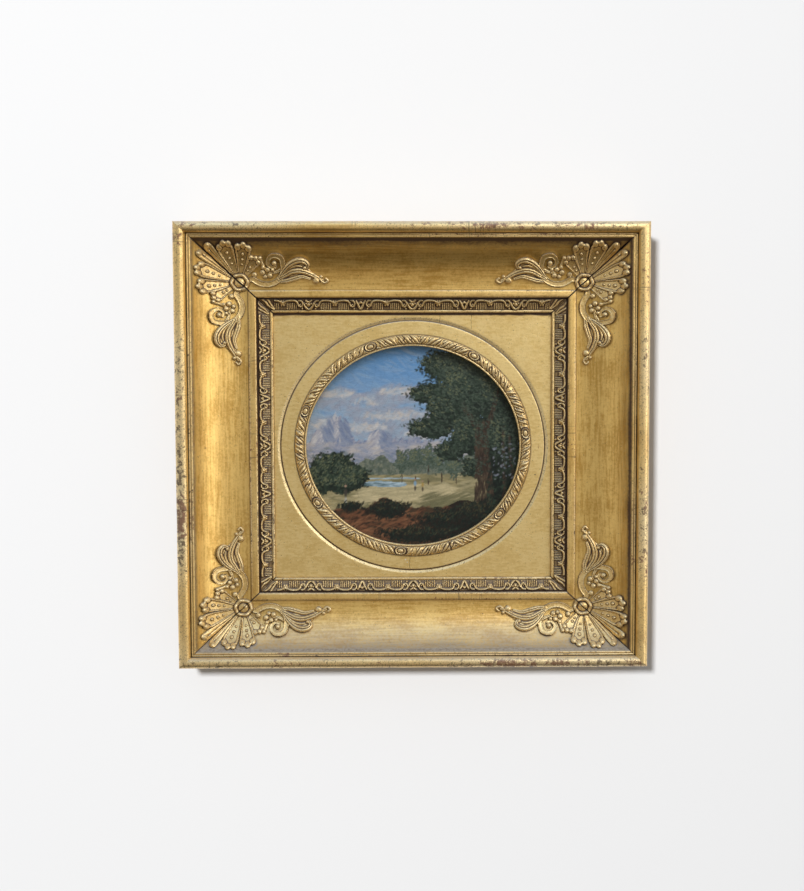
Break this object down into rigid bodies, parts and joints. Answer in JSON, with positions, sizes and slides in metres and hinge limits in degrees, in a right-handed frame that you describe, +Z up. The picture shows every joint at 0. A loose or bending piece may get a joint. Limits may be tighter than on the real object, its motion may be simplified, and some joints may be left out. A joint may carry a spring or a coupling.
{
  "type": "oil painting",
  "caption": "Small landscape painting behind an oval opening, in a deep gilt cove frame with corner ornaments and a carved inner band, made to hang on a wall.",
  "frame": {"origin": "on the flat back of the top rail, midway across, where the frame hangs", "axes": "+Z up, the picture faces -Y, +Y points into the wall, +X to the viewer's right"},
  "size_m": [0.38, 0.0495, 0.358],
  "materials": {
    "gilt": "water-gilt wood, burnished, worn to the red bole in places",
    "ornament_gilt": "gilt pressed ornament, dark in the hollows",
    "slip_gilt": "satin gilding",
    "paint": "oil paint on a wood panel, satin varnish"
  },
  "bodies": {
    "root": {"rail_top": "gilt", "rail_bottom": "gilt", "rail_left": "gilt", "rail_right": "gilt", "band_top": "ornament_gilt", "band_bottom": "ornament_gilt", "band_left": "ornament_gilt", "band_right": "ornament_gilt", "corner_top_left": "ornament_gilt", "corner_top_right": "ornament_gilt", "corner_bottom_left": "ornament_gilt", "corner_bottom_right": "ornament_gilt", "slip": "slip_gilt", "opening_ring": "ornament_gilt", "painted_panel": "paint"}
  },
  "joints": []
}
